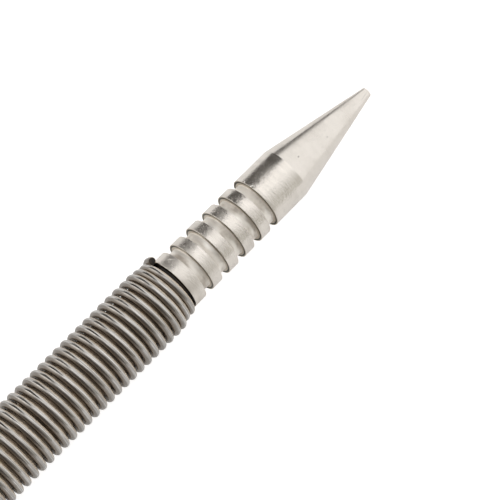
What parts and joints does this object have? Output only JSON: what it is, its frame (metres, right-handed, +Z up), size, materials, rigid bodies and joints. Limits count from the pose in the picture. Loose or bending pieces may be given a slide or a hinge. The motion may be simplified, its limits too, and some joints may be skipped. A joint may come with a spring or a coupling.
{
  "type": "center punch",
  "caption": "Double-ended spring punch: two turned steel punches with grip grooves, joined end to end by an extension spring that snaps their shanks together when pulled and let go.",
  "frame": {"origin": "on the surface that the tool lies on, below the middle of its length", "axes": "+X along the tool towards the front, blunt tip; +Z up; the spring's coils touch z = 0"},
  "size_m": [0.1524, 0.012, 0.0121],
  "materials": {
    "front_punch": "bright turned steel with a thin warm nickel finish, fine lathe lines and small nicks",
    "rear_punch": "bright turned steel with a thin warm nickel finish, fine lathe lines and small nicks",
    "spring": "drawn spring wire, grey with a faint brown tint, smooth and slightly oily"
  },
  "bodies": {
    "front": {"front_punch": "front_punch", "spring": "spring"},
    "rear": {"rear_punch": "rear_punch"}
  },
  "joints": [
    {"name": "rear_pull", "type": "slide", "parent": "front", "child": "rear", "axis": [-1, 0, 0], "range_m": [0, 0.04], "stiffness_N_per_m": 650, "springref_m": -0.015, "deforming": ["spring"]}
  ]
}
